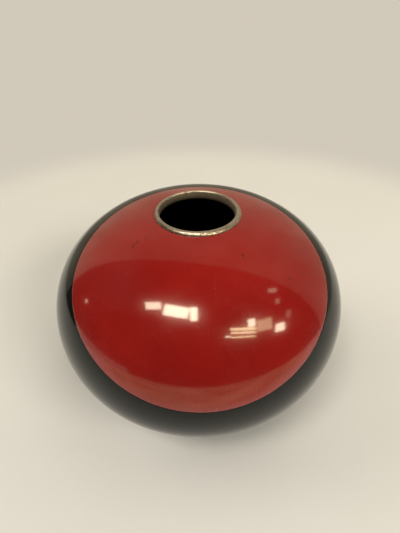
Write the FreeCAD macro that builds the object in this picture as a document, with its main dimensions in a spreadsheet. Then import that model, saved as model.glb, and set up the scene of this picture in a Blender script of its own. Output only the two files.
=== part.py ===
import FreeCAD, Part
import math
import os
import Sketcher

# A squat round vase: two bowls of spun sheet metal lapped together at the waist, lacquered
# outside and in, with a turned metal rim in the mouth and a turned metal ring as the foot.
# The vase stands on Z = 0 with its axis on Z. Its red lacquer disc faces -Y and reaches over
# the shoulder and past the mouth. Lengths are in millimetres.
#
# Every wall of the body follows one outline, which is an oval of tangent arcs: a flank arc
# about the equator and a flatter dome arc above and below it. A wall's depth is measured
# inwards from the lacquered surface, so all the arcs of one kind share one centre. Profiles
# are drawn about the equator, and each piece is then lifted to its height above the table.

SIZES = (
    ("body_radius", 110.0, "widest radius over the lacquer, at the equator"),
    ("flank_radius", 73.15, "radius of the arc that rounds the flank"),
    ("dome_drop", 82.6, "distance of a dome arc's centre beyond the equator"),
    ("equator_height", 81.5, "height of the equator above the table"),
    ("floor_drop", 77.5, "distance of the metal floor's underside below the equator"),
    ("coat_depth", 0.8, "thickness of the coloured lacquer outside"),
    ("sheet_depth", 1.6, "thickness of the spun sheet"),
    ("lining_depth", 0.5, "thickness of the black lacquer inside"),
    ("base_coat_depth", 0.5, "thickness of the black lacquer under the floor"),
    ("lap_rise", 3.0, "how far the half-lap of the two bowls reaches above and below the equator"),
    ("mouth_radius", 26.4, "radius of the clear opening through the rim"),
    ("sleeve_radius", 27.7, "outside radius of the rim's sleeve, inside the metal's opening"),
    ("sleeve_height", 74.7, "height above the equator of the sleeve's lower edge"),
    ("lip_radius", 30.2, "outside radius of the rim's lip, which lies on the metal"),
    ("lip_height", 81.0, "height above the equator of the lip's flat top"),
    ("lip_outer_rounding", 1.7, "radius on the lip's outer edge"),
    ("lip_inner_rounding", 1.3, "radius on the lip's inner edge, at the opening"),
    ("foot_outer_radius", 40.0, "outside radius of the foot ring"),
    ("foot_inner_radius", 36.0, "inside radius of the foot ring"),
    ("foot_rounding", 1.2, "radius on the foot ring's two lower edges"),
    ("disc_ball_radius", 85.2, "radius of the ball whose cut outlines the red disc"),
    ("disc_ball_front", 37.9, "distance of that ball's centre in front of the axis"),
    ("disc_ball_up", 53.9, "height of that ball's centre above the equator"),
)

UPPER = 1
LOWER = -1
H_AXIS = -1
V_AXIS = -2
START = 1
END = 2
CENTRE = 3
FULL_TURN = 360.0
ROUNDING_ERROR = 1e-6


class Length:
    """A length in millimetres, together with the spreadsheet formula that drives it."""

    def __init__(self, value, formula):
        self.value = value
        self.formula = formula

    def __add__(self, other):
        return Length(self.value + other.value, f"({self.formula} + {other.formula})")

    def __sub__(self, other):
        return Length(self.value - other.value, f"({self.formula} - {other.formula})")

    def __neg__(self):
        return Length(-self.value, f"(-{self.formula})")

    def half(self):
        return Length(self.value / 2, f"({self.formula} / 2)")


def hypotenuse(side_a, side_b):
    value = math.hypot(side_a.value, side_b.value)
    formula = f"sqrt({side_a.formula} * {side_a.formula} + {side_b.formula} * {side_b.formula})"
    return Length(value, formula)


def make_sheet(doc):
    """Put the driving sizes into a spreadsheet, one to a row, each with its alias."""
    sheet = doc.addObject("Spreadsheet::Sheet", "sizes")
    for row, (name, value, meaning) in enumerate(SIZES, start=1):
        sheet.set(f"A{row}", name)
        sheet.set(f"B{row}", str(value))
        sheet.set(f"C{row}", meaning)
        sheet.setAlias(f"B{row}", name)
    doc.recompute()
    return sheet


doc = FreeCAD.newDocument("vase")
sheet = make_sheet(doc)
size = {name: Length(float(sheet.get(name)), f"sizes.{name}") for name, _, _ in SIZES}

FLANK_CENTRE = size["body_radius"] - size["flank_radius"]
DOME_RADIUS = size["flank_radius"] + hypotenuse(FLANK_CENTRE, size["dome_drop"])
SURFACE = Length(0.0, "0")
ON_AXIS = Length(0.0, "0")
METAL = size["coat_depth"]
MID_METAL = METAL + size["sheet_depth"].half()
METAL_INSIDE = METAL + size["sheet_depth"]
LINING_INSIDE = METAL_INSIDE + size["lining_depth"]
BASE_COAT = METAL - size["base_coat_depth"]


class Corner:
    """A corner of a profile. A length left out, or named as free, is settled by an edge there."""

    def __init__(self, x=None, z=None, free=None):
        self.x = x
        self.z = z
        self.free = free


class Dome:
    """An edge on the flatter arc of the outline, at a depth below the surface."""

    def __init__(self, depth, side):
        self.radius = DOME_RADIUS - depth
        self.depth = depth
        self.side = side
        self.centre = (0.0, -side * size["dome_drop"].value)


class Flank:
    """An edge on the arc about the equator, at a depth below the surface."""

    def __init__(self, depth):
        self.radius = size["flank_radius"] - depth
        self.depth = depth
        self.centre = (FLANK_CENTRE.value, 0.0)


class Rounding:
    """An edge on part of a circle about a stated centre, such as a rounded corner."""

    def __init__(self, x, z, radius):
        self.radius = radius
        self.x = x
        self.z = z
        self.centre = (x.value, z.value)


class Straight:
    """A straight edge."""


def joint_of_arcs(depth, side):
    """Where the flank arc and the dome arc of one depth touch."""
    along = math.atan2(size["dome_drop"].value, FLANK_CENTRE.value)
    radius = size["flank_radius"].value - depth.value
    x = FLANK_CENTRE.value + radius * math.cos(along)
    z = side * radius * math.sin(along)
    return (x, z)


def point_on_arc(edge, corner):
    """The point of a dome or flank edge that a corner's one stated length settles."""
    centre_x, centre_z = edge.centre
    radius = edge.radius.value
    if corner.x is not None:
        x = corner.x.value
        z = centre_z + edge.side * math.sqrt(radius ** 2 - (x - centre_x) ** 2)
    else:
        z = corner.z.value
        x = centre_x + math.sqrt(radius ** 2 - (z - centre_z) ** 2)
    return (x, z)


def place_corner(corner, before, after):
    """The plane position of a corner between two edges."""
    if isinstance(before, (Flank, Dome)) and isinstance(after, (Flank, Dome)):
        side = before.side if isinstance(before, Dome) else after.side
        return joint_of_arcs(before.depth, side)
    if corner.x is not None and corner.z is not None:
        return (corner.x.value, corner.z.value)
    edge = before if isinstance(before, (Flank, Dome)) else after
    return point_on_arc(edge, corner)


def draw_arc(sketch, centre, radius, start, end):
    """Draw the shorter arc between two points, and tell which end each point became."""
    start_angle = math.atan2(start[1] - centre[1], start[0] - centre[0])
    end_angle = math.atan2(end[1] - centre[1], end[0] - centre[0])
    turn = (end_angle - start_angle) % (2 * math.pi)
    ends = (START, END)
    if turn > math.pi + ROUNDING_ERROR:
        start_angle, end_angle = end_angle, start_angle
        ends = (END, START)
    circle = Part.Circle(FreeCAD.Vector(centre[0], centre[1], 0), FreeCAD.Vector(0, 0, 1), radius)
    index = sketch.addGeometry(Part.ArcOfCircle(circle, start_angle, end_angle), False)
    return index, ends


def draw_edge(sketch, edge, start, end):
    if isinstance(edge, Straight):
        line = Part.LineSegment(FreeCAD.Vector(*start, 0), FreeCAD.Vector(*end, 0))
        return sketch.addGeometry(line, False), (START, END)
    return draw_arc(sketch, edge.centre, edge.radius.value, start, end)


def bind(sketch, kind, references, length):
    """Add a dimension and drive it from the spreadsheet."""
    index = sketch.addConstraint(Sketcher.Constraint(kind, *references, length.value))
    sketch.setExpression(f"Constraints[{index}]", length.formula)


def bind_x(sketch, geometry, point, length):
    if length is ON_AXIS:
        sketch.addConstraint(Sketcher.Constraint("PointOnObject", geometry, point, V_AXIS))
    else:
        bind(sketch, "DistanceX", (H_AXIS, START, geometry, point), length)


def bind_z(sketch, geometry, point, length):
    bind(sketch, "DistanceY", (H_AXIS, START, geometry, point), length)


def settle_edge(sketch, edge, index, joined_to_flank):
    """Fix an arc's centre, and its radius unless a flank arc that it touches settles that."""
    if isinstance(edge, Dome):
        sketch.addConstraint(Sketcher.Constraint("PointOnObject", index, CENTRE, V_AXIS))
        drop = size["dome_drop"]
        bind_z(sketch, index, CENTRE, -drop if edge.side == UPPER else drop)
        if not joined_to_flank:
            bind(sketch, "Radius", (index,), edge.radius)
    elif isinstance(edge, Flank):
        sketch.addConstraint(Sketcher.Constraint("PointOnObject", index, CENTRE, H_AXIS))
        bind_x(sketch, index, CENTRE, FLANK_CENTRE)
        bind(sketch, "Radius", (index,), edge.radius)
    elif isinstance(edge, Rounding):
        bind_x(sketch, index, CENTRE, edge.x)
        bind_z(sketch, index, CENTRE, edge.z)


def draw_profile(sketch, corners, edges):
    """Draw a closed profile. Edge n runs from corner n to corner n + 1."""
    count = len(corners)
    places = [place_corner(corners[n], edges[n - 1], edges[n]) for n in range(count)]
    drawn = [draw_edge(sketch, edges[n], places[n], places[(n + 1) % count]) for n in range(count)]
    for n in range(count):
        before, (_, before_end) = drawn[n - 1]
        after, (after_start, _) = drawn[n]
        kinds = {type(edges[n - 1]), type(edges[n])}
        joint = "Tangent" if kinds == {Flank, Dome} else "Coincident"
        sketch.addConstraint(Sketcher.Constraint(joint, before, before_end, after, after_start))
        if corners[n].x is not None and corners[n].free != "x":
            bind_x(sketch, after, after_start, corners[n].x)
        if corners[n].z is not None and corners[n].free != "z":
            bind_z(sketch, after, after_start, corners[n].z)
    for n in range(count):
        beside = (edges[n - 1], edges[(n + 1) % count])
        joined_to_flank = any(isinstance(edge, Flank) for edge in beside)
        settle_edge(sketch, edges[n], drawn[n][0], joined_to_flank)


def origin_feature(body, role):
    for feature in body.Origin.OriginFeatures:
        if feature.Role == role:
            return feature
    raise ValueError(role)


def revolved_body(name, corners, edges):
    """Make a body by turning a profile in the XZ plane about Z."""
    body = doc.addObject("PartDesign::Body", name)
    sketch = body.newObject("Sketcher::SketchObject", f"{name}_profile")
    sketch.AttachmentSupport = [(origin_feature(body, "XZ_Plane"), "")]
    sketch.MapMode = "FlatFace"
    draw_profile(sketch, corners, edges)
    doc.recompute()
    turned = body.newObject("PartDesign::Revolution", f"{name}_turned")
    turned.Profile = sketch
    turned.ReferenceAxis = (sketch, ["V_Axis"])
    turned.Angle = FULL_TURN
    doc.recompute()
    return body


def make_upper_bowl():
    lap = size["lap_rise"]
    opening = size["sleeve_radius"]
    corners = [Corner(x=opening), Corner(), Corner(z=-lap), Corner(z=-lap)]
    corners += [Corner(z=lap), Corner(z=lap), Corner(), Corner(x=opening)]
    edges = [Dome(METAL, UPPER), Flank(METAL), Straight(), Flank(MID_METAL)]
    edges += [Straight(), Flank(METAL_INSIDE), Dome(METAL_INSIDE, UPPER), Straight()]
    return revolved_body("upper_bowl", corners, edges)


def make_lower_bowl():
    lap = size["lap_rise"]
    under = -size["floor_drop"]
    above = size["sheet_depth"] - size["floor_drop"]
    corners = [Corner(z=-lap), Corner(), Corner(z=under), Corner(x=ON_AXIS, z=under)]
    corners += [Corner(x=ON_AXIS, z=above), Corner(z=above), Corner()]
    corners += [Corner(z=lap), Corner(z=lap), Corner(z=-lap)]
    edges = [Flank(METAL), Dome(METAL, LOWER), Straight(), Straight(), Straight()]
    edges += [Dome(METAL_INSIDE, LOWER), Flank(METAL_INSIDE)]
    edges += [Straight(), Flank(MID_METAL), Straight()]
    return revolved_body("lower_bowl", corners, edges)


def make_outer_coat():
    """The whole coloured coat, from the rim's lip down to the foot ring."""
    top = size["lip_radius"]
    bottom = size["foot_outer_radius"]
    corners = [Corner(x=top), Corner(), Corner(), Corner(x=bottom)]
    corners += [Corner(x=bottom), Corner(), Corner(), Corner(x=top)]
    edges = [Dome(SURFACE, UPPER), Flank(SURFACE), Dome(SURFACE, LOWER), Straight()]
    edges += [Dome(METAL, LOWER), Flank(METAL), Dome(METAL, UPPER), Straight()]
    return revolved_body("outer_coat", corners, edges)


def make_lining():
    top = size["sleeve_radius"]
    under = size["sheet_depth"] - size["floor_drop"]
    above = under + size["lining_depth"]
    corners = [Corner(x=top), Corner(), Corner(), Corner(z=under), Corner(x=ON_AXIS, z=under)]
    corners += [Corner(x=ON_AXIS, z=above), Corner(z=above), Corner(), Corner(), Corner(x=top)]
    edges = [Dome(METAL_INSIDE, UPPER), Flank(METAL_INSIDE), Dome(METAL_INSIDE, LOWER)]
    edges += [Straight(), Straight(), Straight()]
    edges += [Dome(LINING_INSIDE, LOWER), Flank(LINING_INSIDE), Dome(LINING_INSIDE, UPPER)]
    edges += [Straight()]
    return revolved_body("inner_lacquer", corners, edges)


def make_base_coat():
    edge_radius = size["foot_inner_radius"]
    above = -size["floor_drop"]
    under = above - size["base_coat_depth"]
    corners = [Corner(x=edge_radius), Corner(z=above), Corner(x=ON_AXIS, z=above)]
    corners += [Corner(x=ON_AXIS, z=under), Corner(z=under), Corner(x=edge_radius)]
    edges = [Dome(METAL, LOWER), Straight(), Straight()]
    edges += [Straight(), Dome(BASE_COAT, LOWER), Straight()]
    return revolved_body("base_lacquer", corners, edges)


def make_mouth_rim():
    """A sleeve inside the opening, with a flat lip seated on the metal round it."""
    mouth = size["mouth_radius"]
    sleeve = size["sleeve_radius"]
    lip = size["lip_radius"]
    top = size["lip_height"]
    outer_rounding = size["lip_outer_rounding"]
    inner_rounding = size["lip_inner_rounding"]
    lower_edge = size["sleeve_height"]
    corners = [Corner(x=lip), Corner(x=lip, z=top - outer_rounding)]
    corners += [Corner(x=lip - outer_rounding, z=top, free="z")]
    corners += [Corner(x=mouth + inner_rounding, z=top)]
    corners += [Corner(x=mouth, z=top - inner_rounding, free="x"), Corner(x=mouth, z=lower_edge)]
    corners += [Corner(x=sleeve, z=lower_edge), Corner(x=sleeve)]
    edges = [Straight(), Rounding(lip - outer_rounding, top - outer_rounding, outer_rounding)]
    edges += [Straight(), Rounding(mouth + inner_rounding, top - inner_rounding, inner_rounding)]
    edges += [Straight(), Straight(), Straight(), Dome(METAL, UPPER)]
    return revolved_body("mouth_rim", corners, edges)


def make_foot_ring():
    """An upright ring under the lower bowl, flat below with its two edges rounded."""
    outer = size["foot_outer_radius"]
    inner = size["foot_inner_radius"]
    rounding = size["foot_rounding"]
    table = -size["equator_height"]
    start = table + rounding
    corners = [Corner(x=outer), Corner(x=outer, z=start)]
    corners += [Corner(x=outer - rounding, z=table, free="z")]
    corners += [Corner(x=inner + rounding, z=table)]
    corners += [Corner(x=inner, z=start, free="x"), Corner(x=inner)]
    edges = [Straight(), Rounding(outer - rounding, start, rounding), Straight()]
    edges += [Rounding(inner + rounding, start, rounding), Straight(), Dome(METAL, LOWER)]
    return revolved_body("foot_ring", corners, edges)


def make_disc_ball():
    """The ball whose overlap with the coat is the red disc."""
    ball = doc.addObject("Part::Sphere", "disc_ball")
    ball.setExpression("Radius", "sizes.disc_ball_radius")
    ball.setExpression(".Placement.Base.y", "-sizes.disc_ball_front")
    ball.setExpression(".Placement.Base.z", "sizes.disc_ball_up")
    return ball


def split_coat():
    """Part the coloured coat where the ball cuts it: red inside, black outside."""
    coat = make_outer_coat()
    ball = make_disc_ball()
    red = doc.addObject("Part::Common", "red_lacquer")
    red.Base = coat
    red.Tool = ball
    black = doc.addObject("Part::Cut", "black_lacquer")
    black.Base = coat
    black.Tool = ball
    return [red, black]


def lift_to_height(piece):
    """Raise a piece drawn about the equator to its height above the table."""
    piece.setExpression(".Placement.Base.z", "sizes.equator_height")


def check_and_export(pieces):
    for item in doc.Objects:
        if {"Invalid", "Error"} & set(item.State):
            raise ValueError(f"{item.Label} did not build: {item.State}")
    os.makedirs("parts", exist_ok=True)
    for piece in pieces:
        shape = piece.Shape
        if shape.isNull() or not shape.isValid() or len(shape.Solids) != 1:
            raise ValueError(f"{piece.Label} is not one valid solid")
        shape.exportStep(f"parts/{piece.Label}.step")


pieces = [make_upper_bowl(), make_lower_bowl(), make_mouth_rim(), make_foot_ring()]
pieces += [make_lining(), make_base_coat()]
pieces += split_coat()
for piece in pieces:
    lift_to_height(piece)
doc.recompute()
check_and_export(pieces)
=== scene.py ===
import math

import bpy
from mathutils import Matrix, Vector


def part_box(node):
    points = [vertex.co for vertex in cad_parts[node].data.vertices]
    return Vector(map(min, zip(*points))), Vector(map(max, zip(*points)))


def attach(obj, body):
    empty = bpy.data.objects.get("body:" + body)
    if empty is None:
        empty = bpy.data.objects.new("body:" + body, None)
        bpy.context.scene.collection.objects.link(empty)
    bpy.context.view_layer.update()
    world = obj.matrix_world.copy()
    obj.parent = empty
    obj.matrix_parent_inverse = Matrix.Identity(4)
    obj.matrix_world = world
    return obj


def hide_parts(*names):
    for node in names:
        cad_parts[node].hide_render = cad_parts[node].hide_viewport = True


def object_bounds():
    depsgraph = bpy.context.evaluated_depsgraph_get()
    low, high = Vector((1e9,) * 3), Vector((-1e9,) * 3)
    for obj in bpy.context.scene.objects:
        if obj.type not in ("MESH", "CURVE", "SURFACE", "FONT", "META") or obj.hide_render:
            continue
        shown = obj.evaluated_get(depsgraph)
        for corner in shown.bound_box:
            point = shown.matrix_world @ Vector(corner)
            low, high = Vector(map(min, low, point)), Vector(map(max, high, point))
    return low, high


# A squat round vase, lacquered black with a red disc that reaches over its shoulder and past
# its metal-rimmed mouth. Lengths are in metres. The vase's axis is Z and the disc faces -Y.

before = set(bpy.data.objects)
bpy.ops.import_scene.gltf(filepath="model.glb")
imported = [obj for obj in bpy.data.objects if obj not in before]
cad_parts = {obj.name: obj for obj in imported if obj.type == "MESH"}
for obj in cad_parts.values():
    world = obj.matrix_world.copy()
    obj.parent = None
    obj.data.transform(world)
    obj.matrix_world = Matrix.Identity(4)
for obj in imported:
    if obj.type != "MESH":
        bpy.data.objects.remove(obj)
cad_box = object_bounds()

MM = 0.001
PI = math.pi
TURN = 2 * PI

# Sizes read from the CAD nodes.
BODY_RADIUS = min(-cad_box[0].x, -cad_box[0].y, cad_box[1].x, cad_box[1].y)
EQUATOR = (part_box("upper_bowl")[0].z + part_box("lower_bowl")[1].z) / 2
LIP_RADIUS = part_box("mouth_rim")[1].x
LIP_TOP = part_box("mouth_rim")[1].z
SLEEVE_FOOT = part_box("mouth_rim")[0].z
FOOT_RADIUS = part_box("foot_ring")[1].x

# Sizes that the boxes don't give, the same as the CAD model's.
CROWN = 81.0 * MM
COAT_DEPTH = 0.8 * MM
MOUTH_RADIUS = 26.4 * MM
SLEEVE_RADIUS = 27.7 * MM
DISC_BALL_RADIUS = 85.2 * MM
DISC_BALL_CENTRE = Vector((0, -37.9 * MM, EQUATOR + 53.9 * MM))

# The outline is one smooth conic, fuller than an ellipse, from the equator to the crown.
OUTLINE_WEIGHT = 0.831

AROUND = 512
AZIMUTHS = [TURN * i / AROUND for i in range(AROUND)]
RED_ROWS = 72
BLACK_ROWS = 120
SEARCH_STEPS = 40

# A place on the outline, as outline() counts, that is below the disc's edge all round.
BELOW_DISC = -0.6

# Rings close together beside the disc's edge, as steps along the outline.
EDGE_STEPS = (0.0, 0.0008, 0.0017, 0.0028, 0.0042, 0.006, 0.0085, 0.012, 0.017, 0.024)


# ---------------------------------------------------------------- outline and mesh helpers

def outline(along, depth=0.0):
    """A point and outward normal of the outline, as (r, z, normal r, normal z).

    along runs from -1 at the lower pole, through 0 at the equator, to 1 at the crown.
    """
    side = 1 if along >= 0 else -1
    t = abs(along)
    s = 1 - t
    weight = s * s + 2 * OUTLINE_WEIGHT * t * s + t * t
    weight_rate = -2 * s + 2 * OUTLINE_WEIGHT * (s - t) + 2 * t
    r_top = BODY_RADIUS * (s * s + 2 * OUTLINE_WEIGHT * t * s)
    r_rate = BODY_RADIUS * (-2 * s + 2 * OUTLINE_WEIGHT * (s - t))
    z_top = CROWN * (2 * OUTLINE_WEIGHT * t * s + t * t)
    z_rate = CROWN * (2 * OUTLINE_WEIGHT * (s - t) + 2 * t)
    tangent_r = (r_rate * weight - r_top * weight_rate) / weight ** 2
    tangent_z = (z_rate * weight - z_top * weight_rate) / weight ** 2
    length = math.hypot(tangent_r, tangent_z)
    normal_r = tangent_z / length
    normal_z = -tangent_r / length
    r = r_top / weight - depth * normal_r
    z = z_top / weight - depth * normal_z
    return r, EQUATOR + side * z, normal_r, side * normal_z


def along_at_radius(radius, side):
    """Where the outline has a given radius, above (1) or below (-1) the equator."""
    low, high = 0.0, 1.0
    for _ in range(SEARCH_STEPS):
        middle = (low + high) / 2
        if outline(middle)[0] > radius:
            low = middle
        else:
            high = middle
    return side * low


def spun(r, z, azimuth):
    return Vector((r * math.cos(azimuth), r * math.sin(azimuth), z))


def disc_edge(azimuth):
    """Where the outline at one azimuth passes out of the ball that outlines the red disc."""
    inside = along_at_radius(LIP_RADIUS, 1)
    outside = BELOW_DISC
    for _ in range(SEARCH_STEPS):
        middle = (inside + outside) / 2
        r, z, _, _ = outline(middle)
        if (spun(r, z, azimuth) - DISC_BALL_CENTRE).length < DISC_BALL_RADIUS:
            inside = middle
        else:
            outside = middle
    return inside


def mesh_object(name, vertices, faces, normals=None):
    mesh = bpy.data.meshes.new(name)
    mesh.from_pydata(vertices, [], faces)
    mesh.validate()
    mesh.update()
    for face in mesh.polygons:
        face.use_smooth = True
    if normals is not None:
        mesh.normals_split_custom_set_from_vertices(normals)
    piece = bpy.data.objects.new(name, mesh)
    bpy.context.scene.collection.objects.link(piece)
    return piece


def ring_faces(rings, closed):
    """Quads between neighbouring rings of AROUND vertices each."""
    faces = []
    last = rings if closed else rings - 1
    for j in range(last):
        low = j * AROUND
        high = ((j + 1) % rings) * AROUND
        for i in range(AROUND):
            k = (i + 1) % AROUND
            faces.append((low + i, low + k, high + k, high + i))
    return faces


# ---------------------------------------------------------------- the lacquer coats

def edge_drop(place, normal, side):
    """How deep a coat's surface lies beside the disc's edge, and the tilt of its normal.

    side is 1 on the red disc, whose edge is rounded off, and -1 on the black beside it, which
    starts in a shallow groove.
    """
    drop = 0.16 * MM
    width = 0.7 * MM if side > 0 else 0.35 * MM
    outward = place - DISC_BALL_CENTRE
    slope_way = outward - normal * outward.dot(normal)
    distance = side * (DISC_BALL_RADIUS - outward.length) * outward.length / slope_way.length
    share = min(1.0, max(0.0, 1 - distance / width))
    tilt = slope_way.normalized() * (side * 2 * drop / width * share)
    return drop * share * share, tilt


def coat_shell(name, disc_side, upper_edge, lower_edge, rows):
    """A closed coat between two edges, each a list with one place on the outline per azimuth.

    disc_side is 1 if the disc's edge is the lower one, and -1 if it is the upper one.
    """
    vertices = []
    normals = []
    disc, other = (lower_edge, upper_edge) if disc_side > 0 else (upper_edge, lower_edge)

    outer = [[a + disc_side * step for a in disc] for step in EDGE_STEPS]
    start = outer[-1]
    for j in range(1, rows + 1):
        outer.append([a + (b - a) * j / rows for a, b in zip(start, other)])
    if disc_side < 0:
        outer.reverse()
    for ring in outer:
        for azimuth, along in zip(AZIMUTHS, ring):
            r, z, normal_r, normal_z = outline(along)
            place = spun(r, z, azimuth)
            normal = spun(normal_r, normal_z, azimuth)
            depth, tilt = edge_drop(place, normal, disc_side)
            vertices.append(place - normal * depth)
            normals.append((normal + tilt).normalized())

    inner_rows = rows // 4
    for j in range(inner_rows + 1):
        for azimuth, upper, lower in zip(AZIMUTHS, upper_edge, lower_edge):
            r, z, normal_r, normal_z = outline(upper + (lower - upper) * j / inner_rows, COAT_DEPTH)
            vertices.append(spun(r, z, azimuth))
            normals.append(-spun(normal_r, normal_z, azimuth))
    return mesh_object(name, vertices, ring_faces(len(outer) + inner_rows + 1, True), normals)


CHIPS = (
    # azimuth in degrees, half width in degrees, depth in metres along the surface
    (-108.0, 1.6, 0.55 * MM),
    (-84.0, 1.1, 0.4 * MM),
    (-38.0, 2.0, 0.6 * MM),
    (151.0, 1.3, 0.4 * MM),
    (57.0, 1.0, 0.35 * MM),
)


def degrees_past(azimuth, middle):
    """How far an azimuth in radians lies past one in degrees, from -180 to 180 degrees."""
    return (math.degrees(azimuth) - middle + 180) % 360 - 180


def chip_depth(azimuth):
    """How far the lacquer has chipped back from the rim at an azimuth."""
    depth = 0.0
    for middle, half_width, deepest in CHIPS:
        offset = degrees_past(azimuth, middle)
        if abs(offset) < half_width:
            depth = max(depth, deepest * math.sqrt(1 - (offset / half_width) ** 2))
    return depth


def make_coats():
    """The red coat from the lip to the disc's edge, and the black one from there to the foot."""
    tucked = 0.1 * MM
    wobble = 0.0004
    top = [along_at_radius(LIP_RADIUS - tucked + chip_depth(azimuth), 1) for azimuth in AZIMUTHS]
    middle = []
    for azimuth in AZIMUTHS:
        waver = math.sin(5 * azimuth + 1.0) + 0.6 * math.sin(13 * azimuth + 2.0)
        middle.append(disc_edge(azimuth) + wobble * waver)
    bottom = [along_at_radius(FOOT_RADIUS, -1)] * AROUND
    red = coat_shell("red_coat", 1, top, middle, RED_ROWS)
    black = coat_shell("black_coat", -1, middle, bottom, BLACK_ROWS)
    return red, black


# ---------------------------------------------------------------- the metal rim

def rim_profile():
    """Closed profile of the rim, as (r, z, wear, drift).

    wear is the share of the dents that a point takes, and drift is its share of the way that
    the hand-finished opening lies off the axis.
    """
    inner_width, inner_fall = 1.3 * MM, 2.6 * MM
    outer_width, outer_fall = 2.1 * MM, 2.1 * MM
    bevel = 1.2
    ease = 0.25 * MM
    seat = outline(along_at_radius(LIP_RADIUS, 1), COAT_DEPTH)[1]
    points = [
        (SLEEVE_RADIUS, SLEEVE_FOOT + ease, 0.0, 0.0),
        (SLEEVE_RADIUS, seat, 0.0, 0.0),
        (LIP_RADIUS - 0.15 * MM, seat, 0.0, 0.0),
        (LIP_RADIUS, seat + 0.2 * MM, 0.2, 0.0),
        (LIP_RADIUS, seat + 0.7 * MM, 0.6, 0.0),
    ]
    steps = 20
    for k in range(steps + 1):
        angle = PI / 2 * k / steps
        r = LIP_RADIUS - outer_width * (1 - max(0.0, math.cos(angle)) ** bevel)
        z = LIP_TOP - outer_fall * (1 - math.sin(angle) ** bevel)
        points.append((r, z, 0.4 + 0.6 * math.cos(angle), 0.35 * k / steps))
    for k in range(steps + 1):
        angle = PI / 2 * (1 - k / steps)
        r = MOUTH_RADIUS + inner_width * (1 - math.cos(angle))
        z = LIP_TOP - inner_fall * (1 - math.sin(angle))
        points.append((r, z, 0.4 - 0.2 * k / steps, 0.5 + 0.5 * k / steps))
    wall_steps = 6
    top = LIP_TOP - inner_fall
    bottom = SLEEVE_FOOT + ease
    for k in range(1, wall_steps + 1):
        points.append((MOUTH_RADIUS, top + (bottom - top) * k / wall_steps, 0.2, 1.0))
    points.append((MOUTH_RADIUS + ease, SLEEVE_FOOT, 0.2, 0.7))
    points.append((SLEEVE_RADIUS - ease, SLEEVE_FOOT, 0.0, 0.0))
    return points


def dents(azimuth):
    """Small inward bites and a slow waver of the worn outer edge, in metres."""
    usual_wear = 0.06 * MM
    ripple_size = 0.035 * MM
    beside_chip = 1.5
    bite_share = 0.35
    ripple = math.sin(7 * azimuth) + math.sin(17 * azimuth + 0.7) + 0.7 * math.sin(41 * azimuth)
    bite = 0.0
    for middle, half_width, deepest in CHIPS:
        offset = degrees_past(azimuth, middle + beside_chip)
        bite += bite_share * deepest * math.exp(-(offset / half_width) ** 2)
    return max(0.0, usual_wear + ripple_size * ripple) + bite


def make_rim():
    profile = rim_profile()
    opening_drift = Vector((-0.55 * MM, 0.5 * MM, 0))
    vertices = []
    for r, z, wear, drift in profile:
        for azimuth in AZIMUTHS:
            inward = dents(azimuth) * wear if r > SLEEVE_RADIUS else 0.0
            sunk = 0.3 * inward
            vertices.append(spun(r - inward, z - sunk, azimuth) + opening_drift * drift)
    return mesh_object("rim_bead", vertices, ring_faces(len(profile), True))


# ---------------------------------------------------------------- material helpers

def new_material(name):
    material = bpy.data.materials.new(name)
    material.use_nodes = True
    tree = material.node_tree
    tree.nodes.clear()
    output = tree.nodes.new("ShaderNodeOutputMaterial")
    shader = tree.nodes.new("ShaderNodeBsdfPrincipled")
    tree.links.new(shader.outputs["BSDF"], output.inputs["Surface"])
    return material, tree, shader


def node(tree, kind, settings=None, **inputs):
    """Add a node, set its properties, and set or link its inputs by name."""
    made = tree.nodes.new(kind)
    for key, value in (settings or {}).items():
        setattr(made, key, value)
    for key, value in inputs.items():
        feed(tree, made.inputs[key.replace("_", " ")], value)
    return made


def feed(tree, socket, value):
    if isinstance(value, bpy.types.NodeSocket):
        tree.links.new(value, socket)
    else:
        socket.default_value = value


def object_place(tree):
    return node(tree, "ShaderNodeTexCoord").outputs["Object"]


def stretched_place(tree, turn, stretch):
    """The object's coordinates, turned and then stretched, for streaks in one direction."""
    mapping = node(tree, "ShaderNodeMapping", Vector=object_place(tree), Rotation=turn, Scale=stretch)
    return mapping.outputs["Vector"]


def noise(tree, place, scale, detail=3.0, roughness=0.5):
    made = node(tree, "ShaderNodeTexNoise", Vector=place, Scale=scale, Detail=detail, Roughness=roughness)
    return made.outputs["Fac"]


def remap(tree, value, low, high, to_low, to_high):
    made = node(tree, "ShaderNodeMapRange", Value=value,
                From_Min=low, From_Max=high, To_Min=to_low, To_Max=to_high)
    return made.outputs["Result"]


def blend_colours(tree, amount, first, second, kind="MIX"):
    mix = tree.nodes.new("ShaderNodeMix")
    mix.data_type = "RGBA"
    mix.blend_type = kind
    feed(tree, mix.inputs[0], amount)
    feed(tree, mix.inputs[6], first)
    feed(tree, mix.inputs[7], second)
    return mix.outputs[2]


def combine(tree, operation, first, second, third=0.0):
    made = tree.nodes.new("ShaderNodeMath")
    made.operation = operation
    for socket, value in zip(made.inputs, (first, second, third)):
        feed(tree, socket, value)
    return made.outputs[0]


def specks(tree, scale, share, size):
    """1 inside small round specks in a share of the cells of a scattering, else 0."""
    place = object_place(tree)
    cells = node(tree, "ShaderNodeTexVoronoi", Vector=place, Scale=scale)
    near = remap(tree, cells.outputs["Distance"], size * 0.6, size, 1.0, 0.0)
    chosen = node(tree, "ShaderNodeSeparateColor", Color=cells.outputs["Color"]).outputs[0]
    kept = combine(tree, "LESS_THAN", chosen, share)
    return combine(tree, "MULTIPLY", near, kept)


def scratches(tree, turn, density, threshold):
    """Thin bright lines of stretched noise, as fine handling scratches in one direction."""
    place = stretched_place(tree, turn, (density, density * 0.02, density * 0.02))
    fine = noise(tree, place, 1.0, 2.0, 0.6)
    return remap(tree, fine, threshold, threshold + 0.05, 0.0, 1.0)


# ---------------------------------------------------------------- materials

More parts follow.
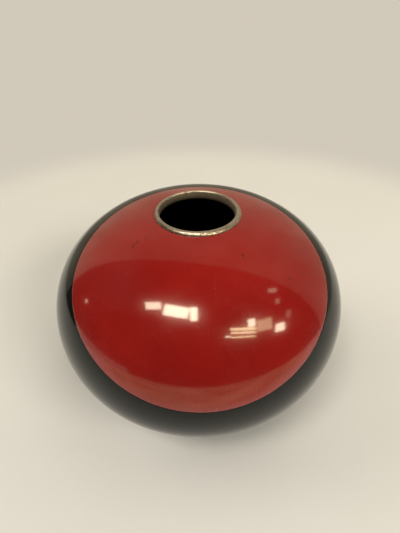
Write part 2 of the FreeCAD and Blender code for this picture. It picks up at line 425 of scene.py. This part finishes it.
SPECK_COLOUR = (0.006, 0.004, 0.003, 1)
MARK_COLOUR = (0.025, 0.002, 0.0015, 1)
DUST_COLOUR = (0.5, 0.42, 0.34, 1)
# The colour of the painted shade deep inside the mouth.
PAINTED_SHADE_COLOUR = (0.03, 0.025, 0.015, 1)

MARKS = (
    # centre, turn about Z in radians, half length, half width
    ((-0.0424, -0.0305, 0.1540), -0.9, 2.0 * MM, 1.5 * MM),
    ((-0.0400, -0.0280, 0.1548), -0.8, 2.9 * MM, 1.1 * MM),
    ((-0.0345, -0.0262, 0.1567), 1.2, 2.6 * MM, 0.8 * MM),
    ((0.0260, -0.0440, 0.1540), 1.5, 1.8 * MM, 1.3 * MM),
    ((0.0550, -0.0530, 0.1430), 0.2, 1.6 * MM, 1.0 * MM),
)


def blot(tree, centre, turn, length, width):
    """1 inside a small soft-edged mark at one place, else 0. Its height along Z hardly counts."""
    moved = node(tree, "ShaderNodeVectorMath", {"operation": "SUBTRACT"})
    feed(tree, moved.inputs[0], object_place(tree))
    feed(tree, moved.inputs[1], centre)
    turned = node(tree, "ShaderNodeVectorRotate", {"rotation_type": "Z_AXIS"},
                  Vector=moved.outputs[0], Angle=turn)
    scaled = node(tree, "ShaderNodeVectorMath", {"operation": "MULTIPLY"})
    feed(tree, scaled.inputs[0], turned.outputs[0])
    feed(tree, scaled.inputs[1], (1 / length, 1 / width, 0.1 / length))
    reach = node(tree, "ShaderNodeVectorMath", {"operation": "LENGTH"})
    feed(tree, reach.inputs[0], scaled.outputs[0])
    raggedness = remap(tree, noise(tree, object_place(tree), 900.0), 0.3, 0.7, -0.3, 0.3)
    ragged = combine(tree, "ADD", reach.outputs["Value"], raggedness)
    return remap(tree, ragged, 0.35, 1.0, 1.0, 0.0)


def lacquer(name, deep, light, roughness, coat_roughness, coat_ior, haze, marks=()):
    """Hand-rubbed gloss lacquer: clouded colour, specks of dust, fine scratches, a soft waviness.

    haze is the base's own gloss under the clear coat, and marks are small dark dents. The
    heights are in shares of the bump's distance.
    """
    mottle_strength, speck_strength, mark_strength, dust_strength = 0.0875, 0.85, 0.5, 0.4
    peel_height, scratch_height, dust_height, mark_height = 0.02, -0.012, 0.05, -2.0
    scratch_roughness = 0.15
    material, tree, shader = new_material(name)
    place = object_place(tree)
    clouds = remap(tree, noise(tree, place, 22.0, 4.0), 0.35, 0.65, 0.0, 1.0)
    mottle = combine(tree, "MULTIPLY", noise(tree, place, 260.0, 2.0), mottle_strength)
    colour = blend_colours(tree, clouds, deep, light)
    colour = blend_colours(tree, mottle, colour, deep)
    dark = combine(tree, "MULTIPLY", specks(tree, 75.0, 0.035, 0.05), speck_strength)
    colour = blend_colours(tree, dark, colour, SPECK_COLOUR)
    marked = 0.0
    for centre, turn, length, width in marks:
        marked = combine(tree, "MAXIMUM", marked, blot(tree, centre, turn, length, width))
    colour = blend_colours(tree, combine(tree, "MULTIPLY", marked, mark_strength), colour, MARK_COLOUR)
    dust = specks(tree, 140.0, 0.03, 0.04)
    colour = blend_colours(tree, combine(tree, "MULTIPLY", dust, dust_strength), colour, DUST_COLOUR)
    feed(tree, shader.inputs["Base Color"], colour)

    smudges = remap(tree, noise(tree, place, 40.0, 5.0, 0.6), 0.45, 0.75, 0.0, 0.16)
    lines = combine(tree, "MAXIMUM", scratches(tree, (0.3, 0.2, 0.9), 900.0, 0.7),
                    scratches(tree, (1.1, 0.5, -0.4), 700.0, 0.71))
    rough = combine(tree, "ADD", smudges, roughness)
    rough = combine(tree, "ADD", rough, combine(tree, "MULTIPLY", lines, scratch_roughness))
    feed(tree, shader.inputs["Roughness"], rough)

    waves = noise(tree, place, 30.0, 1.0)
    peel = noise(tree, place, 420.0, 2.0)
    height = combine(tree, "MULTIPLY_ADD", peel, peel_height, waves)
    height = combine(tree, "MULTIPLY_ADD", lines, scratch_height, height)
    height = combine(tree, "MULTIPLY_ADD", dust, dust_height, height)
    height = combine(tree, "MULTIPLY_ADD", marked, mark_height, height)
    bump = node(tree, "ShaderNodeBump", Height=height, Strength=0.5, Distance=0.00012)
    feed(tree, shader.inputs["Normal"], bump.outputs["Normal"])
    feed(tree, shader.inputs["Coat Normal"], bump.outputs["Normal"])
    shader.inputs["Coat Weight"].default_value = 1.0
    shader.inputs["Coat Roughness"].default_value = coat_roughness
    shader.inputs["Coat IOR"].default_value = coat_ior
    shader.inputs["IOR"].default_value = 1.4
    shader.inputs["Specular IOR Level"].default_value = haze
    return material


def worn_metal(name, bright, dark, roughness, crest=None):
    """Turned yellow-grey metal: lathe lines round the axis, tarnish in patches and small pits.

    crest is the height of the lip, which handling keeps bright. Inside the mouth, below the
    crest, the metal is duller and rougher, and painted shade darkens it towards the sleeve's foot.
    """
    stained_roughness = 0.22
    dull_roughness = 0.35
    material, tree, shader = new_material(name)
    place = object_place(tree)
    parts = node(tree, "ShaderNodeSeparateXYZ", Vector=place)
    squares = combine(tree, "ADD", combine(tree, "MULTIPLY", parts.outputs[0], parts.outputs[0]),
                      combine(tree, "MULTIPLY", parts.outputs[1], parts.outputs[1]))
    radius = combine(tree, "SQRT", squares, 0.0)
    height = parts.outputs[2]

    patches = remap(tree, noise(tree, place, 75.0, 4.0, 0.6), 0.42, 0.62, 0.0, 1.0)
    tarnish = remap(tree, noise(tree, place, 260.0, 5.0, 0.65), 0.4, 0.62, 0.0, 1.0)
    grime = remap(tree, noise(tree, place, 850.0, 4.0, 0.6), 0.5, 0.64, 0.0, 0.9)
    cloudy = combine(tree, "MULTIPLY", combine(tree, "MULTIPLY_ADD", patches, 0.65, 0.3), tarnish)
    stain = combine(tree, "MAXIMUM", cloudy, grime)
    if crest is not None:
        rubbed = remap(tree, height, crest - 0.7 * MM, crest - 0.1 * MM, 1.15, 0.45)
        stain = combine(tree, "MINIMUM", combine(tree, "MULTIPLY", stain, rubbed), 1.0)
    colour = blend_colours(tree, stain, bright, dark)
    rough = combine(tree, "MULTIPLY_ADD", stain, stained_roughness, roughness)
    if crest is not None:
        deep = remap(tree, height, crest - 3.2 * MM, crest - 0.2 * MM, 1.0, 0.0)
        within = remap(tree, radius, MOUTH_RADIUS + 0.9 * MM, MOUTH_RADIUS + 1.5 * MM, 1.0, 0.0)
        dull = combine(tree, "MULTIPLY", deep, within)
        # Painted shade: the sleeve's colour darkens towards its foot, deep in the mouth.
        painted_shade = remap(tree, height, crest - 6.2 * MM, crest - 2.4 * MM, 0.88, 0.0)
        middling = tuple(0.45 * b + 0.55 * d for b, d in zip(bright, dark))
        inside = blend_colours(tree, painted_shade, middling, PAINTED_SHADE_COLOUR)
        colour = blend_colours(tree, dull, colour, inside)
        rough = combine(tree, "MULTIPLY_ADD", dull, dull_roughness, rough)
    feed(tree, shader.inputs["Base Color"], colour)
    feed(tree, shader.inputs["Roughness"], rough)

    both = node(tree, "ShaderNodeCombineXYZ", X=radius, Y=height)
    turned = noise(tree, both.outputs[0], 5200.0, 3.0, 0.7)
    pits = remap(tree, noise(tree, place, 1500.0, 3.0, 0.6), 0.58, 0.7, 0.0, 1.0)
    relief = combine(tree, "SUBTRACT", combine(tree, "MULTIPLY", turned, 0.35), pits)
    bump = node(tree, "ShaderNodeBump", Height=relief, Strength=0.3, Distance=0.0001)
    feed(tree, shader.inputs["Normal"], bump.outputs["Normal"])
    shader.inputs["Metallic"].default_value = 1.0
    return material


def pale_cloth(name, colour):
    """Plain pale woven cloth for the table, with broad faint creases."""
    material, tree, shader = new_material(name)
    place = object_place(tree)
    clouds = noise(tree, place, 4.0, 3.0)
    clouding = 0.93
    darker = tuple(clouding * part for part in colour[:3]) + (1,)
    feed(tree, shader.inputs["Base Color"], blend_colours(tree, clouds, darker, colour))
    weave = noise(tree, place, 1800.0, 2.0)
    creases = noise(tree, place, 5.0, 2.0)
    height = combine(tree, "ADD", combine(tree, "MULTIPLY", weave, 0.02), creases)
    bump = node(tree, "ShaderNodeBump", Height=height, Strength=0.5, Distance=0.012)
    feed(tree, shader.inputs["Normal"], bump.outputs["Normal"])
    shader.inputs["Roughness"].default_value = 0.9
    shader.inputs["Specular IOR Level"].default_value = 0.2
    return material


def glow(name, colour, strength, folds=0.0, stretch=(1.0, 1.0, 1.0)):
    """An even glow, or one with soft folds that vary its strength by a share of itself."""
    material = bpy.data.materials.new(name)
    material.use_nodes = True
    tree = material.node_tree
    tree.nodes.clear()
    output = tree.nodes.new("ShaderNodeOutputMaterial")
    if folds:
        waves = noise(tree, stretched_place(tree, (0, 0, 0), stretch), 1.0, 3.0)
        strength = remap(tree, waves, 0.35, 0.65, strength * (1 - folds), strength * (1 + folds))
    light = node(tree, "ShaderNodeEmission", Color=colour, Strength=strength)
    tree.links.new(light.outputs[0], output.inputs["Surface"])
    return material


def dress(piece, material):
    piece.data.materials.clear()
    piece.data.materials.append(material)


def redress(name, material):
    """Give a CAD node a better material through its own slots."""
    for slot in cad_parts[name].material_slots:
        slot.material = material


# ---------------------------------------------------------------- the vase

def make_vase():
    red_lacquer = lacquer(
        "red_lacquer_gloss", deep=(0.255, 0.0064, 0.0046, 1), light=(0.305, 0.0088, 0.0062, 1),
        roughness=0.2, coat_roughness=0.08, coat_ior=1.5, haze=0.3, marks=MARKS)
    black_lacquer = lacquer(
        "black_lacquer_gloss", deep=(0.003, 0.004, 0.0035, 1), light=(0.006, 0.0075, 0.0065, 1),
        roughness=0.3, coat_roughness=0.05, coat_ior=1.28, haze=0.0)
    lining = lacquer(
        "black_lining", deep=(0.003, 0.003, 0.003, 1), light=(0.006, 0.006, 0.006, 1),
        roughness=0.45, coat_roughness=0.2, coat_ior=1.4, haze=0.2)
    rim_metal = worn_metal(
        "rim_metal_worn", bright=(0.80, 0.69, 0.605, 1), dark=(0.17, 0.125, 0.095, 1),
        roughness=0.33, crest=LIP_TOP)
    spun_metal = worn_metal(
        "spun_metal_bare", bright=(0.62, 0.45, 0.24, 1), dark=(0.25, 0.16, 0.07, 1),
        roughness=0.35)

    red, black = make_coats()
    rim = make_rim()
    for piece, material, cad_node in (
        (red, red_lacquer, "red_lacquer"),
        (black, black_lacquer, "black_lacquer"),
        (rim, rim_metal, "mouth_rim"),
    ):
        dress(piece, material)
        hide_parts(cad_node)
        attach(piece, "root")
    redress("inner_lacquer", lining)
    redress("base_lacquer", lining)
    redress("upper_bowl", spun_metal)
    redress("lower_bowl", spun_metal)
    redress("foot_ring", rim_metal)


# ---------------------------------------------------------------- the studio

SWEEP_RADIUS = 0.58
PANE_DISTANCE = 1.3
KEY_DISTANCE = 2.6
WARM = (1.0, 0.93, 0.82)
CREAM = (1.0, 0.92, 0.66)
AMBER = (1.0, 0.83, 0.47)
WALL_COLOUR = (1.0, 0.91, 0.77, 1)
WALL_STRENGTH = 0.64


def facing(azimuth, elevation):
    """The direction from the vase at an azimuth, from +Y towards +X, and an elevation, in degrees."""
    a, e = math.radians(azimuth), math.radians(elevation)
    return Vector((math.sin(a) * math.cos(e), math.cos(a) * math.cos(e), math.sin(e)))


def dome_sheet(name, rows, columns, keeps):
    """Part of a dome about the object, with its lower edge on the floor."""
    vertices = []
    for j in range(rows + 1):
        for i in range(columns):
            vertices.append(facing(360 * i / columns, 90 * j / rows) * SWEEP_RADIUS)
    faces = []
    for j in range(rows):
        for i in range(columns):
            low = j * columns
            k = (i + 1) % columns
            corners = (low + k, low + i, low + columns + i, low + columns + k)
            middle = sum((vertices[corner] for corner in corners), Vector()) / 4
            if keeps(middle.normalized()):
                faces.append(corners)
    return mesh_object(name, vertices, faces)


def floor_disc(radius):
    rows, columns = 40, 128
    vertices = [Vector((0, 0, 0))]
    faces = []
    for j in range(1, rows + 1):
        for i in range(columns):
            azimuth = TURN * i / columns
            vertices.append(Vector((math.cos(azimuth), math.sin(azimuth), 0)) * radius * j / rows)
    for i in range(columns):
        faces.append((0, 1 + i, 1 + (i + 1) % columns))
    for j in range(rows - 1):
        for i in range(columns):
            low = 1 + j * columns
            k = (i + 1) % columns
            faces.append((low + i, low + columns + i, low + columns + k, low + k))
    return mesh_object("floor", vertices, faces)


def sector_sheet(name, near, far, height, first, last):
    """A flat ring sector just above the floor, between two radii and two angles in degrees."""
    rows, columns = 12, 60
    vertices = []
    for j in range(rows + 1):
        radius = near + (far - near) * j / rows
        for i in range(columns + 1):
            vertices.append(spun(radius, height, math.radians(first + (last - first) * i / columns)))
    faces = []
    for j in range(rows):
        for i in range(columns):
            low = j * (columns + 1) + i
            faces.append((low, low + columns + 1, low + columns + 2, low + 1))
    return mesh_object(name, vertices, faces)


def fading_glow(name, colour, strength, folds, stretch, clear_from, full_from):
    """A glow that is clear near the vase and fades in towards the front, along Y."""
    material = glow(name, colour, strength, folds, stretch)
    tree = material.node_tree
    along = node(tree, "ShaderNodeSeparateXYZ", Vector=object_place(tree)).outputs["Y"]
    clear = node(tree, "ShaderNodeBsdfTransparent")
    mix = tree.nodes.new("ShaderNodeMixShader")
    feed(tree, mix.inputs[0], remap(tree, along, full_from, clear_from, 1.0, 0.0))
    tree.links.new(clear.outputs[0], mix.inputs[1])
    tree.links.new(tree.nodes["Emission"].outputs[0], mix.inputs[2])
    tree.links.new(mix.outputs[0], tree.nodes["Material Output"].inputs["Surface"])
    return material


def aimed_light(name, azimuth, elevation, roll, distance, width, height, radiance, colour):
    """A rectangular area light that faces the vase from a direction given in degrees."""
    direction = facing(azimuth, elevation)
    turn = math.radians(roll)
    side = direction.cross(Vector((0, 0, 1))).normalized()
    top = side.cross(direction)
    across = side * math.cos(turn) + top * math.sin(turn)
    light = bpy.data.lights.new(name, "AREA")
    light.shape = "RECTANGLE"
    light.size = width
    light.size_y = height
    light.energy = radiance * PI * width * height
    light.color = colour
    lamp = bpy.data.objects.new(name, light)
    axes = Matrix((across, direction.cross(across), direction)).transposed()
    place = Vector((0, 0, EQUATOR)) + direction * distance
    lamp.matrix_world = Matrix.Translation(place) @ axes.to_4x4()
    bpy.context.scene.collection.objects.link(lamp)
    return lamp


def window_pane(name, azimuth, elevation, roll, width, height, radiance, colour):
    """A bright pane that shows in the gloss and lights nothing else."""
    pane = aimed_light(name, azimuth, elevation, roll, PANE_DISTANCE, width, height, radiance, colour)
    pane.visible_diffuse = False


def soft_key(name, azimuth, elevation, width, height, radiance):
    """A broad light that doesn't show in the gloss. Its size is as seen at the panes' distance."""
    further = KEY_DISTANCE / PANE_DISTANCE
    key = aimed_light(name, azimuth, elevation, 0, KEY_DISTANCE,
                      width * further, height * further, radiance, WARM)
    key.visible_glossy = False


def floor_material(cloth_colour):
    """Pale cloth that fades into the wall's even tone towards the edge of the floor."""
    material = pale_cloth("pale_cloth", cloth_colour)
    tree = material.node_tree
    fade_start = 0.42
    fade_end = SWEEP_RADIUS * 0.98
    reach = node(tree, "ShaderNodeVectorMath", {"operation": "LENGTH"})
    feed(tree, reach.inputs[0], object_place(tree))
    fade = node(tree, "ShaderNodeMapRange", {"interpolation_type": "SMOOTHSTEP"},
                Value=reach.outputs["Value"], From_Min=fade_start, From_Max=fade_end)
    even = node(tree, "ShaderNodeEmission", Color=WALL_COLOUR, Strength=WALL_STRENGTH)
    mix = tree.nodes.new("ShaderNodeMixShader")
    feed(tree, mix.inputs[0], fade.outputs["Result"])
    tree.links.new(tree.nodes["Principled BSDF"].outputs[0], mix.inputs[1])
    tree.links.new(even.outputs[0], mix.inputs[2])
    tree.links.new(mix.outputs[0], tree.nodes["Material Output"].inputs["Surface"])
    return material


def make_backdrop():
    """A pale floor that fades into a wall of one even tone. The wall lights nothing."""
    floor = floor_disc(SWEEP_RADIUS)
    dress(floor, floor_material((0.83, 0.83, 0.805, 1)))
    wall = dome_sheet("wall", 48, 160, lambda direction: True)
    dress(wall, glow("wall_pale", WALL_COLOUR, WALL_STRENGTH))
    wall.visible_glossy = False
    wall.visible_diffuse = False
    wall.visible_shadow = False
    return [floor, wall]


def make_gloss_sheets():
    """Sheets that the camera doesn't see, for the soft tones of cloth in the vase's gloss."""
    toward_back = facing(13.6, 2.0)
    card_reach = math.cos(math.radians(81.5))
    card = dome_sheet("backdrop_glow", 180, 480, lambda direction: direction.dot(toward_back) > card_reach)
    dress(card, glow("backdrop_tone", (1.0, 0.87, 0.62, 1), 0.37, 0.16, (9.0, 9.0, 1.6)))

    toward_left = facing(-112.0, 0.0)
    skirting_reach = math.cos(math.radians(23.0))
    skirting_top = 0.08
    skirting = dome_sheet("skirting", 180, 480, lambda direction: (
        0 < direction.z < skirting_top and direction.dot(toward_left) > skirting_reach))
    dress(skirting, glow("skirting_pale", (1.0, 0.9, 0.75, 1), 0.5))

    front = sector_sheet("warm_sheet", near=0.2, far=0.565, height=0.0005, first=-172, last=-8)
    warm_tone = fading_glow(
        "warm_sheet_tone", (1.0, 0.76, 0.44, 1), strength=0.78, folds=0.35, stretch=(6.0, 14.0, 1.0),
        clear_from=-0.17, full_from=-0.24)
    dress(front, warm_tone)

    sheets = [card, skirting, front]
    for sheet in sheets:
        sheet.visible_camera = False
        sheet.visible_shadow = False
    skirting.visible_diffuse = False
    front.visible_diffuse = False
    return sheets


def make_world():
    world = bpy.data.worlds.new("dim_room")
    bpy.context.scene.world = world
    world.use_nodes = True
    ground = world.node_tree.nodes["Background"]
    ground.inputs["Color"].default_value = (1.0, 0.88, 0.7, 1)
    ground.inputs["Strength"].default_value = 0.05


PANES = (
    # name, azimuth, elevation and roll in degrees, width and height in metres, radiance, colour
    ("pane_high", -149.5, 60.5, -11, 0.35, 0.215, 22.0, CREAM),
    ("pane_high_right", -172, 61, -4, 0.10, 0.27, 24.0, CREAM),
    ("pane_high_left", -122.5, 56, -48, 0.22, 0.13, 17.0, CREAM),
    ("strip_top", 144, 39.5, 30, 0.40, 0.05, 17.0, AMBER),
    ("strip_middle", 145.5, 36.5, 28, 0.38, 0.04, 17.0, AMBER),
    ("strip_bottom", 147, 33, 25, 0.36, 0.022, 22.0, AMBER),
    ("strip_end", 158.5, 37.5, 19, 0.08, 0.035, 20.0, CREAM),
    ("pane_low_middle", 135, 41, 25, 0.11, 0.15, 20.0, CREAM),
    ("pane_low_dim", 127.5, 33.5, 28, 0.24, 0.22, 5.6, AMBER),
    ("pane_low_right", 119.5, 23, 33, 0.17, 0.15, 16.0, CREAM),
    ("pane_side", 96, 46, 65, 0.14, 0.07, 3.0, CREAM),
    ("pane_side_low", 104, 39, 60, 0.07, 0.09, 2.2, CREAM),
    ("pane_side_lower", 107.5, 25.5, 48, 0.09, 0.13, 1.4, CREAM),
    ("pane_far_left", -83.5, 13, -70, 0.07, 0.05, 4.0, CREAM),
)

KEYS = (
    # name, azimuth and elevation in degrees, width and height in metres, radiance
    ("key_high", -145, 60, 0.40, 0.32, 15.0),
    ("key_low", 138, 36, 0.60, 0.30, 14.5),
    ("fill_left", -75, 40, 0.8, 0.8, 2.3),
    ("fill_top", 60, 62, 1.1, 1.1, 1.05),
)


def make_studio():
    for sheet in make_backdrop() + make_gloss_sheets():
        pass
    make_world()
    for pane in PANES:
        window_pane(*pane)
    for key in KEYS:
        soft_key(*key)


# ---------------------------------------------------------------- the camera

def make_camera():
    """A phone-like camera, close above the front of the vase and looking down at it."""
    data = bpy.data.cameras.new("camera")
    data.sensor_fit = "AUTO"
    data.sensor_width = 36.0
    data.lens = 27.1
    data.clip_start = 0.01
    camera = bpy.data.objects.new("camera", data)
    stand_off = 0.241
    above_equator = 0.222
    side_step = 1.66
    heading = 1.93
    pitch = 38.41
    roll = math.radians(-0.41)
    place = Vector((0, 0, EQUATOR + above_equator)) - facing(side_step, 0) * stand_off
    ahead = facing(heading, -pitch)
    level_right = facing(heading + 90, 0)
    level_up = level_right.cross(ahead)
    right = level_right * math.cos(roll) + level_up * math.sin(roll)
    up = level_up * math.cos(roll) - level_right * math.sin(roll)
    axes = Matrix((right, up, -ahead)).transposed()
    camera.matrix_world = Matrix.Translation(place) @ axes.to_4x4()
    bpy.context.scene.collection.objects.link(camera)
    bpy.context.scene.camera = camera


make_vase()
make_studio()
make_camera()
bpy.context.scene.view_settings.view_transform = "Standard"
